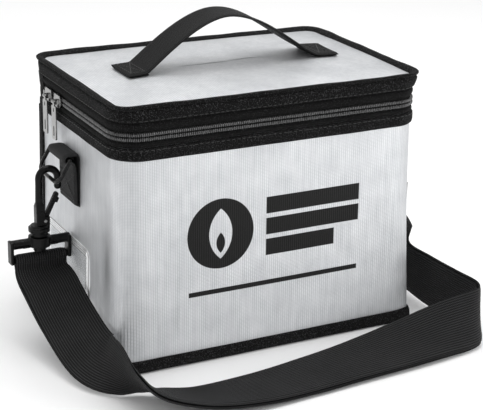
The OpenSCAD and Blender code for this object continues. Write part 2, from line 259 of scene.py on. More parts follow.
class Nodes:
    """A short way to build a material's node tree."""

    def __init__(self, name):
        self.material = bpy.data.materials.new(name)
        self.material.use_nodes = True
        self.tree = self.material.node_tree
        self.shader = self.tree.nodes["Principled BSDF"]

    def node(self, kind, **values):
        node = self.tree.nodes.new(kind)
        for key, value in values.items():
            setattr(node, key, value)
        return node

    def link(self, a, b):
        self.tree.links.new(a, b)

    def math(self, operation, a, b=None, clamp=False):
        node = self.node("ShaderNodeMath", operation=operation, use_clamp=clamp)
        for socket, value in zip(node.inputs, (a, b)):
            if value is None:
                continue
            if isinstance(value, (int, float)):
                socket.default_value = value
            else:
                self.link(value, socket)
        return node.outputs[0]

    def uv(self):
        split = self.node("ShaderNodeSeparateXYZ")
        self.link(self.node("ShaderNodeUVMap", uv_map="cloth").outputs[0], split.inputs[0])
        return split.outputs[0], split.outputs[1]

    def position(self):
        return self.node("ShaderNodeTexCoord").outputs["Object"]

    def noise(self, scale, detail=3.0, vector=None):
        node = self.node("ShaderNodeTexNoise")
        node.inputs["Scale"].default_value = scale
        node.inputs["Detail"].default_value = detail
        self.link(vector or self.position(), node.inputs["Vector"])
        return node.outputs["Fac"]

    def wave(self, along, period, power=1.0):
        """A ridge of 0 to 1 that repeats every period metres."""
        turn = self.math("MULTIPLY", along, math.pi / period)
        ridge = self.math("ABSOLUTE", self.math("SINE", turn))
        return self.math("POWER", ridge, power) if power != 1.0 else ridge

    def ramp(self, factor, low, high):
        node = self.node("ShaderNodeValToRGB")
        node.color_ramp.elements[0].position, colour = low
        node.color_ramp.elements[0].color = (*colour, 1)
        node.color_ramp.elements[1].position, colour = high
        node.color_ramp.elements[1].color = (*colour, 1)
        self.link(factor, node.inputs[0])
        return node.outputs[0]

    def mix(self, factor, a, b):
        node = self.node("ShaderNodeMix", data_type="RGBA")
        self.link(factor, node.inputs["Factor"])
        for socket, value in ((node.inputs["A"], a), (node.inputs["B"], b)):
            if isinstance(value, tuple):
                socket.default_value = (*value, 1)
            else:
                self.link(value, socket)
        return node.outputs["Result"]

    def bump(self, height, strength, distance, before=None):
        node = self.node("ShaderNodeBump")
        node.inputs["Strength"].default_value = strength
        node.inputs["Distance"].default_value = distance
        self.link(height, node.inputs["Height"])
        if before is not None:
            self.link(before, node.inputs["Normal"])
        return node.outputs[0]

    def set(self, **values):
        names = {"color": "Base Color", "metallic": "Metallic", "roughness": "Roughness",
                 "sheen": "Sheen Weight", "sheen_rough": "Sheen Roughness",
                 "coat": "Coat Weight", "coat_rough": "Coat Roughness", "normal": "Normal",
                 "specular": "Specular IOR Level", "alpha": "Alpha"}
        for key, value in values.items():
            socket = self.shader.inputs[names[key]]
            if isinstance(value, bpy.types.NodeSocket):
                self.link(value, socket)
            elif isinstance(value, tuple):
                socket.default_value = (*value, 1)
            else:
                socket.default_value = value
        return self.material


# ---------------------------------------------------------------- materials

WEAVE = 1.5 * MM
SILVER_DARK, SILVER_LIGHT = (0.50, 0.515, 0.535), (0.83, 0.84, 0.855)
# The first colour is the painted shade over the wall's dent; INK is the sign's ink
DENT_SHADE_GREY, INK = (0.20, 0.205, 0.21), (0.003, 0.003, 0.003)
COAT_METALLIC = 0.55
# The dent behind the front left corner: the walls are pushed in there, and the body's cloth gets a
# painted shade over it
DENT_Y, DENT_Z, DENT_WIDE, DENT_TALL = -50.0 * MM, 64.0 * MM, 8.0 * MM, 32.0 * MM


def silver_cloth(name, with_print_and_shade=False):
    """Aluminised glass cloth: a fine plain weave under a soft metallic coat."""
    n = Nodes(name)
    u, v = n.uv()
    warp = n.wave(u, WEAVE)
    weft = n.wave(v, WEAVE * 0.62)
    threads = n.math("MULTIPLY", warp, weft)
    streak = n.node("ShaderNodeMapping")
    streak.inputs["Scale"].default_value = (420.0, 420.0, 26.0)
    n.link(n.position(), streak.inputs["Vector"])
    streaks = n.noise(1.0, 2.0, streak.outputs[0])
    drift = n.noise(55.0, 4.0)
    stain = n.noise(9.0, 2.0)
    cloud = n.math("ADD", n.math("MULTIPLY", drift, 0.45), n.math("MULTIPLY", streaks, 0.30))
    shade = n.math("ADD", n.math("MULTIPLY", threads, 0.30), cloud)
    colour = n.ramp(shade, (0.25, SILVER_DARK), (0.80, SILVER_LIGHT))
    rough = n.math("ADD", n.math("MULTIPLY", stain, 0.14), 0.30)
    normal = n.bump(threads, 0.6, 0.3 * MM)
    normal = n.bump(n.noise(260.0, 2.0), 0.18, 0.3 * MM, normal)
    if with_print_and_shade:
        # Painted shade: the cloth is darkened over the dent behind the front left corner
        colour = n.mix(painted_dent_shade_mask(n), colour, DENT_SHADE_GREY)
        ink = emblem_mask(n, u, v)
        colour = n.mix(ink, colour, INK)
        rough = n.math("ADD", rough, n.math("MULTIPLY", ink, 0.12))
        n.set(metallic=n.math("MULTIPLY", n.math("SUBTRACT", 1.0, ink), COAT_METALLIC))
    else:
        n.set(metallic=COAT_METALLIC)
    return n.set(color=colour, roughness=rough, normal=normal, specular=0.25)


def painted_dent_shade_mask(n):
    """Painted shade in the dent behind the front left corner, for its dark reflection: 0 to 0.7.
    """
    split = n.node("ShaderNodeSeparateXYZ")
    n.link(n.position(), split.inputs[0])
    x, y, z = split.outputs
    far = 1.0
    for place, middle, wide in ((y, DENT_Y, DENT_WIDE), (z, DENT_Z, DENT_TALL)):
        share = n.math("MULTIPLY", n.math("SUBTRACT", place, middle), 1 / wide)
        far = n.math("ADD", n.math("POWER", share, 2), far)
    near = n.math("DIVIDE", 0.7, n.math("MULTIPLY", far, far))
    return n.math("MULTIPLY", near, n.math("LESS_THAN", x, -100 * MM))


EDGE_SOFTNESS = 0.25 * MM
SIGN_Z, DISC_LEFT, DISC_RADIUS = 84 * MM, 38 * MM, 23 * MM
# The flame is where two discs overlap: (each disc's shift, drop below the middle, radius)
FLAME, CORE = (13 * MM, 0.0, 21 * MM), (6 * MM, 6 * MM, 9 * MM)
# Bars in millimetres: (height, half thickness, left end, right end)
BARS = (98, 5.5, -6, 62), (84, 5.5, -6, 62), (70, 5.5, -6, 44), (46, 1.6, -60, 62)


def inside(n, gap):
    """1 where the gap to the outline is inward, 0 outside, with a slightly soft edge."""
    return n.math("MULTIPLY", n.math("ADD", gap, EDGE_SOFTNESS / 2), 1 / EDGE_SOFTNESS,
                  clamp=True)


def box_mask(n, u, v, centre, half):
    du = n.math("SUBTRACT", half[0], n.math("ABSOLUTE", n.math("SUBTRACT", u, centre[0])))
    dv = n.math("SUBTRACT", half[1], n.math("ABSOLUTE", n.math("SUBTRACT", v, centre[1])))
    return inside(n, n.math("MINIMUM", du, dv))


def disc_mask(n, u, v, centre, radius):
    du = n.math("POWER", n.math("SUBTRACT", u, centre[0]), 2)
    dv = n.math("POWER", n.math("SUBTRACT", v, centre[1]), 2)
    return inside(n, n.math("SUBTRACT", radius, n.math("SQRT", n.math("ADD", du, dv))))


def emblem_mask(n, u, v):
    """A plain sign: a leaf-shaped flame cut out of a disc, with bars beside and under it."""
    cx = FRONT_U - DISC_LEFT
    leaves = [n.math("MINIMUM", *(disc_mask(n, u, v, (cx + way * shift, SIGN_Z - drop), radius)
                                  for way in (-1, 1)))
              for shift, drop, radius in (FLAME, CORE)]
    disc = disc_mask(n, u, v, (cx, SIGN_Z), DISC_RADIUS)
    sign = n.math("MAXIMUM", n.math("SUBTRACT", disc, leaves[0], clamp=True), leaves[1])
    for z, half_h, left, right in BARS:
        centre = (FRONT_U + (left + right) / 2 * MM, z * MM)
        bar = box_mask(n, u, v, centre, ((right - left) / 2 * MM, half_h * MM))
        sign = n.math("MAXIMUM", sign, bar)
    return sign


def black_tape(name, rib=1.15 * MM, base=0.0022, fleck=0.06):
    """Brushed tape: ribs across its length, a short nap and pale flecks of fibre."""
    n = Nodes(name)
    u, v = n.uv()
    ribs = n.wave(u, rib)
    rows = n.wave(v, rib * 0.8)
    nap = n.noise(900.0, 3.0)
    wear = n.noise(60.0, 3.0)
    height = n.math("ADD", n.math("MULTIPLY", n.math("MULTIPLY", ribs, rows), 0.6),
                    n.math("MULTIPLY", nap, 0.7))
    # Painted highlight: raised ribs and nap are coloured lighter, mixed with patches of wear
    dark = n.ramp(n.math("ADD", n.math("MULTIPLY", height, 0.55), n.math("MULTIPLY", wear, 0.45)),
                  (0.25, (base * 0.3,) * 3), (0.85, (base * 3.0,) * 3))
    fibre = n.ramp(n.noise(1500.0, 2.0), (0.56, (0, 0, 0)), (0.68, (1, 1, 1)))
    colour = n.mix(fibre, dark, (fleck, fleck, fleck * 1.03))
    return n.set(color=colour, roughness=0.75, sheen=0.01, sheen_rough=0.45, specular=0.1,
                 normal=n.bump(height, 0.9, 0.5 * MM))


def webbing(name, rib=1.55 * MM, pick=0.95 * MM, base=0.0026):
    """Woven strap: ribs along its length, crossed by fine picks; painted highlights and wear."""
    n = Nodes(name)
    u, v = n.uv()
    ribs = n.wave(v, rib, 0.8)
    lean = n.math("ADD", u, n.math("MULTIPLY", v, 0.45))
    picks = n.wave(lean, pick)
    height = n.math("MULTIPLY", ribs, n.math("ADD", n.math("MULTIPLY", picks, 0.6), 0.4))
    fuzz = n.noise(1100.0, 2.0)
    wear = n.noise(38.0, 3.0)
    # Painted highlight: the raised weave is coloured lighter, mixed with patches of wear
    tone = n.math("ADD", n.math("MULTIPLY", height, 0.75), n.math("MULTIPLY", wear, 0.25))
    lit_and_worn = (base * 17.0, base * 17.0, base * 17.5)
    colour = n.ramp(tone, (0.35, (base * 0.2,) * 3), (0.85, lit_and_worn))
    normal = n.bump(height, 1.0, 0.5 * MM)
    normal = n.bump(fuzz, 0.25, 0.2 * MM, normal)
    return n.set(color=colour, roughness=0.55, sheen=0.01, sheen_rough=0.4, specular=0.12,
                 normal=normal)


def moulded_plastic(name):
    """Moulded black acetal with a fine spark-eroded grain and a few worn patches."""
    n = Nodes(name)
    grain = n.noise(2200.0, 2.0)
    rub = n.noise(120.0, 4.0)
    rough = n.ramp(rub, (0.35, (0.24,) * 3), (0.7, (0.40,) * 3))
    colour = n.ramp(rub, (0.3, (0.002, 0.002, 0.002)), (0.8, (0.005, 0.005, 0.005)))
    return n.set(color=colour, roughness=rough, specular=0.16, coat=0.02, coat_rough=0.3,
                 normal=n.bump(grain, 0.12, 0.05 * MM))


def nickel(name, tone=0.36):
    """Bright nickel plate on a die casting: slight ripple, fine scratches, dull pits."""
    n = Nodes(name)
    scratch = n.node("ShaderNodeMapping")
    scratch.inputs["Scale"].default_value = (900.0, 900.0, 60.0)
    n.link(n.position(), scratch.inputs["Vector"])
    lines = n.noise(1.0, 2.0, scratch.outputs[0])
    pits = n.noise(420.0, 3.0)
    rough = n.ramp(n.math("MULTIPLY", n.math("ADD", lines, pits), 0.5),
                   (0.35, (0.13,) * 3), (0.7, (0.34,) * 3))
    colour = n.ramp(pits, (0.3, (tone * 0.8, tone * 0.8, tone * 0.79)),
                    (0.7, (tone, tone, tone * 0.99)))
    return n.set(color=colour, metallic=1.0, roughness=rough,
                 normal=n.bump(lines, 0.15, 0.06 * MM))


def grained(name, grain, low, high, bump=None, **finish):
    """A finish with a single grain: grain is its (scale, detail), low and high are stops of its
    colour ramp, and bump is its (strength, depth)."""
    n = Nodes(name)
    height = n.noise(*grain)
    if bump:
        finish["normal"] = n.bump(height, *bump)
    return n.set(color=n.ramp(height, low, high), **finish)


def lining_cloth(name):
    """Grey coated lining with a small square weave and long soft creases."""
    n = Nodes(name)
    checks = n.node("ShaderNodeTexVoronoi")
    checks.inputs["Scale"].default_value = 620.0
    n.link(n.position(), checks.inputs["Vector"])
    crease = n.noise(34.0, 5.0)
    colour = n.ramp(n.math("ADD", n.math("MULTIPLY", crease, 0.7),
                           n.math("MULTIPLY", checks.outputs["Distance"], 0.5)),
                    (0.3, (0.40, 0.41, 0.43)), (0.8, (0.66, 0.67, 0.69)))
    normal = n.bump(checks.outputs["Distance"], 0.3, 0.2 * MM)
    normal = n.bump(crease, 0.5, 2.0 * MM, normal)
    return n.set(color=colour, metallic=0.35, roughness=0.42, normal=normal)


def clear_edge(name):
    """Welded, stitched-down edge of the pocket: bright film with painted reflections on ridges."""
    n = Nodes(name)
    ridge = n.wave(n.uv()[1], 1.7 * MM, 0.7)
    ripple = n.noise(90.0, 3.0)
    # Painted reflections: bright bands on the parallel ridges, dark lines between them
    tone = n.math("ADD", n.math("MULTIPLY", ridge, 0.75), n.math("MULTIPLY", ripple, 0.35))
    colour = n.ramp(tone, (0.3, (0.10, 0.10, 0.105)), (0.8, (0.93, 0.94, 0.95)))
    return n.set(color=colour, metallic=0.45, roughness=0.14, coat=0.5, coat_rough=0.08,
                 normal=n.bump(ripple, 0.35, 0.5 * MM))


def path_length(path, stop):
    """Length along a path of (point, outward) from its start to the point numbered stop."""
    total = 0.0
    for i in range(1, stop + 1):
        total += (path[i][0] - path[i - 1][0]).length
    return total


# FRONT_U is the u of the front panel's middle in the walls' UV, which starts at mid back
wall_path = plan_path(SKIN_IN)
front_mid = min(range(len(wall_path)),
                key=lambda i: (wall_path[i][0] - Vector((0, -HALF_D, 0))).length)
FRONT_U = path_length(wall_path, front_mid) - wall_path[front_mid][0].x

SILVER = silver_cloth("silver_cloth")
SILVER_FRONT = silver_cloth("silver_cloth_print_and_shade", with_print_and_shade=True)
TAPE = black_tape("brushed_tape")
FINE_TAPE = black_tape("zip_tape", rib=0.8 * MM, base=0.003, fleck=0.03)
WEBBING = webbing("strap_webbing")
HANDLE_WEBBING = webbing("handle_webbing", rib=1.4 * MM, pick=1.1 * MM, base=0.0012)
PLASTIC = moulded_plastic("black_acetal")
NICKEL = nickel("bright_nickel")
ENAMEL = grained("black_enamel", (500.0, 4.0), (0.55, (0.004,) * 3), (0.9, (0.08,) * 3),
                 (0.08, 0.05 * MM), metallic=0.2, roughness=0.2, specular=0.25, coat=0.15,
                 coat_rough=0.12)
COIL = grained("zip_coil", (700.0, 2.0), (0.3, (0.02,) * 3), (0.75, (0.13, 0.13, 0.132)),
               (0.1, 0.05 * MM), roughness=0.25, specular=0.8)
THREAD = grained("black_thread", (2400.0, 2.0), (0.3, (0.0072,) * 3), (0.8, (0.0264,) * 3),
                 (0.4, 0.1 * MM), roughness=0.55, sheen=0.2, specular=0.4)
FELT = grained("pressed_felt", (1400.0, 4.0), (0.3, (0.60, 0.60, 0.58)),
               (0.75, (0.84, 0.84, 0.82)), (0.7, 0.4 * MM), roughness=0.95, sheen=0.4)
LINING = lining_cloth("lining_cloth")
BOARD = grained("stiff_board", (160.0, 4.0), (0.3, (0.10,) * 3), (0.8, (0.22,) * 3),
                (0.2, 0.2 * MM), roughness=0.8)
FILM = grained("clear_film", (28.0, 3.0), (0.3, (0.80, 0.82, 0.84)), (0.8, (0.93, 0.94, 0.95)),
               (0.5, 1.2 * MM), roughness=0.12, alpha=0.32, specular=0.6)
FLOOR_PAINT = grained("floor_paint", (3.0, 2.0), (0.2, (0.95,) * 3), (0.8, (0.97,) * 3),
                      roughness=0.9, specular=0.1)
FILM_EDGE = clear_edge("film_edge")


# ---------------------------------------------------------------- camera and studio

CAMERA_AT = Vector((-431, -851, 419)) * MM
CAMERA_YAW, CAMERA_PITCH, CAMERA_ROLL = 27.6, 19.9, 1.24
LENS, SENSOR_WIDTH = 111.8, 36


def make_camera():
    """The camera: yaw is to the right of +Y, pitch is down and roll turns the picture."""
    yaw, pitch, roll = (math.radians(a) for a in (CAMERA_YAW, CAMERA_PITCH, CAMERA_ROLL))
    ahead = Vector((math.sin(yaw) * math.cos(pitch), math.cos(yaw) * math.cos(pitch),
                    -math.sin(pitch)))
    right = Vector((math.cos(yaw), -math.sin(yaw), 0))
    above = right.cross(ahead)
    side = right * math.cos(roll) + above * math.sin(roll)
    top = above * math.cos(roll) - right * math.sin(roll)
    data = bpy.data.cameras.new("camera")
    data.lens = LENS
    data.sensor_width = SENSOR_WIDTH
    data.clip_start = 0.05
    camera = bpy.data.objects.new("camera", data)
    camera.matrix_world = Matrix((
        (side.x, top.x, -ahead.x, CAMERA_AT.x),
        (side.y, top.y, -ahead.y, CAMERA_AT.y),
        (side.z, top.z, -ahead.z, CAMERA_AT.z),
        (0, 0, 0, 1)))
    bpy.context.scene.collection.objects.link(camera)
    bpy.context.scene.camera = camera


WORLD_LIGHT = 0.68
LIGHT_AIM = Vector((0, 0, 0.09))
# (name, place, size, power)
LIGHTS = (("key", (0.95, -1.15, 0.6), (0.7, 0.7), 6.0),
          ("top", (0.1, 0.1, 1.5), (1.3, 1.3), 13.0),
          ("side", (-1.3, 0.5, 0.6), (0.3, 0.9), 1.6))
FLOOR_SIZE, FLOOR_Z = 8, -0.4 * MM


def area_light(name, at, size, power):
    data = bpy.data.lights.new(name, "AREA")
    data.shape = "RECTANGLE"
    data.size, data.size_y = size
    data.energy = power
    light = bpy.data.objects.new(name, data)
    light.location = at
    light.rotation_euler = (LIGHT_AIM - Vector(at)).to_track_quat("-Z", "Y").to_euler()
    bpy.context.scene.collection.objects.link(light)


def make_studio():
    world = bpy.data.worlds.new("studio")
    world.use_nodes = True
    background = world.node_tree.nodes["Background"]
    background.inputs["Color"].default_value = (1, 1, 1, 1)
    background.inputs["Strength"].default_value = WORLD_LIGHT
    bpy.context.scene.world = world
    bpy.context.scene.view_settings.view_transform = "Standard"
    for light in LIGHTS:
        area_light(*light)
    bpy.ops.mesh.primitive_grid_add(x_subdivisions=8, y_subdivisions=8, size=FLOOR_SIZE)
    floor = bpy.context.object
    floor.name = "floor"
    floor.location.z = FLOOR_Z
    floor.data.materials.append(FLOOR_PAINT)


# ---------------------------------------------------------------- bag body

ROLL_RADIUS = 12.0 * MM
PANEL_IN, PANEL_RADIUS = 4.4 * MM, 10.5 * MM


def wall_bulge(p, out, z):
    """How far the wall's cloth stands out of its flat place: filled panels, shallow dents that
    run up the narrow sides, and one deeper dent behind the front left corner."""
    t = (z - body_lo.z) / (body_hi.z - body_lo.z)
    panel = math.sin(math.pi * min(max(t, 0), 1)) ** 0.7
    flat_x = max(0.0, 1 - (p.x / (HALF_W - 4 * MM)) ** 4) * abs(out.y)
    flat_y = max(0.0, 1 - (p.y / (HALF_D - 4 * MM)) ** 4) * abs(out.x)
    bulge = 0.9 * MM * panel * flat_x + 0.7 * MM * panel * flat_y
    bulge += 1.1 * MM * panel ** 0.3 * corner_share(out)
    side = abs(out.x) ** 2
    ripple = soft_noise(p.x, p.y, z * 0.25, 17 * MM)
    bulge += side * panel * 0.55 * MM * ripple
    bulge += (1 - side) * panel * 0.25 * MM * soft_noise(p.x, p.y + 3, z * 0.6, 34 * MM)
    if out.x < -0.8:
        across, along = (p.y - DENT_Y) / DENT_WIDE, (z - DENT_Z) / DENT_TALL
        bulge -= 2.0 * MM * math.exp(-across * across - along * along)
    return bulge


def two_layer_cells(rows, columns, closed):
    """The quads of a sheet made of two layers of points in rows: (quad, layer, row, column).
    The second layer is turned over. A closed sheet's last column joins its first."""
    width = columns if closed else columns + 1
    for layer in (0, 1):
        for r in range(rows):
            for i in range(columns):
                j = (i + 1) % width
                a = (layer * (rows + 1) + r) * width
                quad = (a + i, a + j, a + width + j, a + width + i)
                yield quad[::-1] if layer else quad, layer, r, i


def make_body_skin():
    """The four walls as one sheet of cloth, joined at the middle of the back."""
    path = wall_path
    count = len(path)
    rows = 52
    thick = 1.1 * MM
    tall = body_hi.z - body_lo.z
    heights = [body_lo.z + tall * r / rows for r in range(rows + 1)]
    along = [path_length(path, i) for i in range(count)]
    along.append(along[-1] + (path[0][0] - path[-1][0]).length)
    verts, faces, uvs = [], [], []
    for layer in (0, 1):
        for z in heights:
            for p, out in path:
                offset = flare(out, z) + (wall_bulge(p, out, z) if layer == 0 else -thick)
                verts.append(p + out * offset + UP * z)
    for quad, layer, r, i in two_layer_cells(rows, count, True):
        corner = ((along[i], heights[r]), (along[i + 1], heights[r]),
                  (along[i + 1], heights[r + 1]), (along[i], heights[r + 1]))
        faces.append(quad)
        uvs.append(corner[::-1] if layer else corner)
    for r, flip in ((0, True), (rows, False)):
        for i in range(count):
            j = (i + 1) % count
            a, b = r * count, (rows + 1 + r) * count
            quad = (a + i, a + j, b + j, b + i)
            corner = ((along[i], 0), (along[i + 1], 0), (along[i + 1], thick), (along[i], thick))
            faces.append(quad[::-1] if flip else quad)
            uvs.append(corner[::-1] if flip else corner)
    skin = fix_normals(add_object("body_skin", verts, faces, uvs, [SILVER_FRONT]))
    put(skin, "root", "silver_fabric", "body_shell")


def rounded_band(z0, z1, outer, inner, bulge, steps=9):
    """Outline of a soft band against the wall: (outward, up) from its middle height."""
    half = (z1 - z0) / 2
    outline = []
    for k in range(steps + 1):
        t = -1 + 2 * k / steps
        swell = (1 - abs(t) ** 3.2) ** 0.5
        outline.append((-outer - 0.6 * MM + swell * (bulge + 0.6 * MM), t * half))
    outline.append((-inner, half))
    outline.append((-inner, -half))
    return outline


def beads(name, places, rings, sides, shape, material):
    """A small closed tube at each place (middle, direction, outward). For t from -1 to 1 along
    the tube, shape(t, middle, direction, outward) gives its centre and its section's half axes."""
    verts, faces = [], []
    for place in places:
        start = len(verts)
        for k in range(rings):
            centre, across, up = shape(-1 + 2 * k / (rings - 1), *place)
            for s in range(sides):
                a = 2 * math.pi * s / sides
                verts.append(centre + across * math.cos(a) + up * math.sin(a))
        for k in range(rings - 1):
            for s in range(sides):
                n = (s + 1) % sides
                a = start + k * sides
                faces.append((a + s, a + n, a + sides + n, a + sides + s))
        faces.append(tuple(start + s for s in reversed(range(sides))))
        faces.append(tuple(start + (rings - 1) * sides + s for s in range(sides)))
    return fix_normals(add_object(name, verts, faces, None, [material]))


def stitches(name, places, rise, length=2.6 * MM, radius=0.26 * MM):
    """Short raised stitches."""
    def shape(t, middle, way, out):
        fat = radius * math.sqrt(max(0.0, 1 - t * t * 0.92))
        centre = middle + way * (t * length / 2) + out * (rise * (1 - t * t))
        return centre, way.cross(out).normalized() * fat, out * fat

    return beads(name, places, 5, 6, shape, THREAD)


def stitch_places(points, outs, pitch=3.6 * MM):
    """Evenly spaced stitches along a line of points."""
    places, wanted, travelled = [], pitch / 2, 0.0
    for i in range(1, len(points)):
        a, b = points[i - 1], points[i]
        run = (b - a).length
        while run > 0 and travelled + run >= wanted:
            t = (wanted - travelled) / run
            places.append((a.lerp(b, t), (b - a).normalized(), outs[i - 1].lerp(outs[i], t)))
            wanted += pitch
        travelled += run
    return places


def band_stitches(name, inset, z, body):
    """A row of stitches right round the bag."""
    path = plan_path(0, 2.0 * MM)
    path.append(path[0])
    points = [p + out * -inset + UP * z for p, out in path]
    piece = stitches(name, stitch_places(points, [out for p, out in path]), 0.05 * MM)
    put(piece, body, "webbing_tape")


def make_bands():
    """The tapes round the foot of the bag, under the zip and round the lid's edge."""
    path = plan_path(0, 2.4 * MM)

    def band(name, node, z0, z1, inner, bulge, body, push=0.0, wobble=0.25 * MM):
        outline = rounded_band(z0, z1, 0.0, inner, bulge)
        mid, tall = (z0 + z1) / 2, z1 - z0

        def profile(i):
            p, out = path[i % len(path)]
            sway = wobble * soft_noise(p.x, p.y, mid, 22 * MM)
            fat = 1 + 0.22 * soft_noise(p.x, p.y, mid + 1, 13 * MM)
            shaped = []
            for a, b in outline[:-2]:
                spread = flare(out, mid + b) + push * corner_share(out) * (0.5 + b / tall)
                shaped.append((a * (fat if a > 0 else 1) + spread, b + sway))
            return shaped + outline[-2:]

        piece = sweep(name, band_frames(path, mid), profile, TAPE, closed=True)
        put(piece, body, "webbing_tape", node)
        cut_width(outline)

    bottom_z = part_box("bottom_binding")
    band("bottom_tape", "bottom_binding", 0.0, bottom_z[1][2], SKIN_IN, 0.9 * MM, "root")
    band("body_tape", "body_band", band_lo.z, band_hi.z, SKIN_IN, 0.8 * MM, "root")
    band("lid_edge_tape", "lid_binding", BIND_Z, LID_EDGE_Z, LID_IN, 0.7 * MM, "lid",
         TOP_CORNER_PUSH)
    band_stitches("body_tape_seam", -0.5 * MM, band_hi.z - 1.3 * MM, "root")
    band_stitches("lid_tape_seam", -0.7 * MM, BIND_Z + 1.3 * MM, "lid")
    make_lid_roll()


def make_lid_roll():
    """The rolled seam that stands up and out along the lid's top edge."""
    path = plan_path(0, 2.0 * MM, radius=ROLL_RADIUS)
    tilt, half_wide, half_thick, sides = math.radians(24), 3.3 * MM, 1.5 * MM, 16

    def profile(i):
        p, out = path[i % len(path)]
        fat = 1 + 0.14 * soft_noise(p.x, p.y, 3, 16 * MM)
        rise = 0.5 * MM * soft_noise(p.x, p.y, 5, 30 * MM)
        outline = []
        for k in range(sides):
            a = 2 * math.pi * k / sides
            u, v = half_wide * fat * math.cos(a), half_thick * fat * math.sin(a)
            outline.append((-2.2 * MM + u * math.cos(tilt) - v * math.sin(tilt),
                            0.7 * MM + rise + u * math.sin(tilt) + v * math.cos(tilt)))
        return outline

    piece = sweep("lid_roll", band_frames(path, LID_EDGE_Z), profile, TAPE, closed=True)
    put(piece, "lid", "webbing_tape")
    cut_width(profile(0))


# Raised welts of the zip tapes: (out of the tape's face, up from its lower edge), in mm
LOWER_WELT = (-0.9, 0), (0.5, 0.5), (0.9, 1.6), (0.5, 2.8), (-0.3, 3.6)
UPPER_WELT = (-0.4, 0), (-0.3, 3.2), (0.4, 4.0), (1.0, 5.4), (1.1, 6.6), (0.6, 7.8)
# The lower tape's inner ledge, which closes the top of the wall
LINING_IN, LEDGE_IN = 5.7 * MM, 6.6 * MM
LEDGE_Z, LEDGE_EDGE_Z, LEDGE_TOP_Z = 149.05 * MM, 149.6 * MM, 150.0 * MM
COIL_H, COIL_PITCH = 2.6 * MM, 1.3 * MM


def welt(points, foot_z):
    return [(-TAPE_IN + a * MM, foot_z + b * MM) for a, b in points]


def make_zip():
    """Tapes with a welt above and below the coil, and the coil's own loops."""
    path = plan_path(0, 2.4 * MM)
    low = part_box("lower_zip_tape")
    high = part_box("upper_zip_tape")
    lo_z, lo_top = low[0][2], low[1][2]
    up_z, up_top = high[0][2], high[1][2]
    lower = (welt(LOWER_WELT, lo_z)
             + [(-TAPE_IN - 0.4 * MM, lo_top - 0.1 * MM), (-LID_IN, lo_top),
                (-LINING_IN, LEDGE_TOP_Z), (-LEDGE_IN, LEDGE_EDGE_Z), (-LEDGE_IN, LEDGE_Z),
                (-LID_IN - 0.1 * MM, LEDGE_Z), (-LID_IN - 0.1 * MM, lo_z)])
    upper = (welt(UPPER_WELT, up_z)
             + [(-TAPE_IN - 0.4 * MM, up_top), (-LID_IN, up_top), (-LID_IN, up_z)])
    for name, node, outline, body in (("lower_tape", "lower_zip_tape", lower, "root"),
                                      ("upper_tape", "upper_zip_tape", upper, "lid")):
        piece = sweep(name, band_frames(path, 0.0), outline, FINE_TAPE, closed=True)
        put(piece, body, "zip_tape", node)
        cut_width(outline)
    front = plan_path(0, 2.0 * MM, y_max=ZIP_END_Y)
    for name, node, z0, z1, body, lean in (
            ("lower_coil", "lower_zip_coil", lo_top - COIL_H, lo_top, "root", 1),
            ("upper_coil", "upper_zip_coil", up_z, up_z + COIL_H, "lid", -1)):
        put(coil_row(name, front, z0, z1, lean), body, "zip_coil", node)


def coil_row(name, path, z0, z1, lean):
    """One half of the zip: rounded loops that lie across the tape."""
    mid, half = (z0 + z1) / 2, (z1 - z0) / 2

    def shape(t, middle, way, out):
        out = out.normalized()
        lift = -TAPE_IN + 0.2 * MM + 0.75 * MM * math.sqrt(max(0.0, 1 - t * t))
        fat = 0.36 * MM * math.sqrt(max(0.05, 1 - 0.9 * t ** 6))
        centre = middle + UP * (mid + t * half) + out * lift + way * (t * 0.22 * MM * lean)
        return centre, way * (fat * 1.25), out * fat

    places = stitch_places([p for p, out in path], [out for p, out in path], COIL_PITCH)
    return beads(name, places, 6, 7, shape, COIL)


def make_hinge_tape():
    """One strip of tape round the back, from the body's band to the lid's binding."""
    path = plan_path(0, 2.4 * MM)
    zipped = [i for i, (p, out) in enumerate(path) if p.y < ZIP_END_Y + 2 * MM]
    back = path[zipped[-1] + 1:] + path[:zipped[0]]
    z0, z1 = BAND_TOP_Z + 0.1 * MM, BIND_Z - 0.1 * MM
    rows = 14
    outer, inner = [], []
    for k in range(rows + 1):
        z = z0 + (z1 - z0) * k / rows
        fold = 0.35 * MM * math.exp(-((z - SPLIT_Z) / (1.2 * MM)) ** 2)
        outer.append((0.1 * MM - fold, z))
        inner.append((-0.75 * MM - fold * 0.5, z))
    outline = outer + inner[::-1]

    def profile(i):
        push = TOP_CORNER_PUSH * corner_share(back[i][1])
        return [(a + push * (z - z0) / (z1 - z0), z) for a, z in outline]

    piece = sweep("hinge_tape", band_frames(back, 0.0), profile, TAPE)
    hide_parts("hinge_tape_lower", "hinge_tape_upper")
    cut_width(outline)
    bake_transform(piece)


